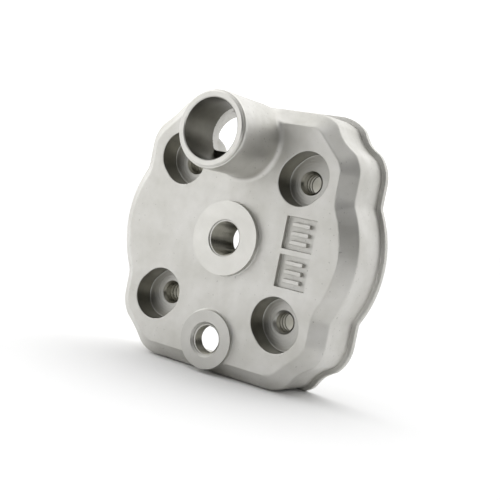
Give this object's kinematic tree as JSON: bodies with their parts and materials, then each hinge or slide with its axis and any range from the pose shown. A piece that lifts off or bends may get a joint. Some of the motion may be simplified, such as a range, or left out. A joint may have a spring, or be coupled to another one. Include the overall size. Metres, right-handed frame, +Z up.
{
  "type": "cylinder head",
  "caption": "Water-cooled two-stroke cylinder head: cast block with an outlet pipe, central plug hole, sensor boss and recessed stud pockets.",
  "frame": {"origin": "middle of the flat lower edge that the head stands on, level with the bench, with y = 0 at the cast plug-side face", "axes": "+Z up towards the water outlet, +Y from the plug side to the gasket face, +X to the right seen from the plug side"},
  "size_m": [0.1126, 0.0514, 0.1086],
  "materials": {
    "cast_aluminium": "blasted casting with machined seats",
    "ring_rubber": "moulded O-ring cord"
  },
  "bodies": {
    "root": {"head_casting": "cast_aluminium", "chamber_o_ring": "ring_rubber", "jacket_o_ring": "ring_rubber", "stud_o_ring_1": "ring_rubber", "stud_o_ring_2": "ring_rubber", "stud_o_ring_3": "ring_rubber", "stud_o_ring_4": "ring_rubber"}
  },
  "joints": []
}
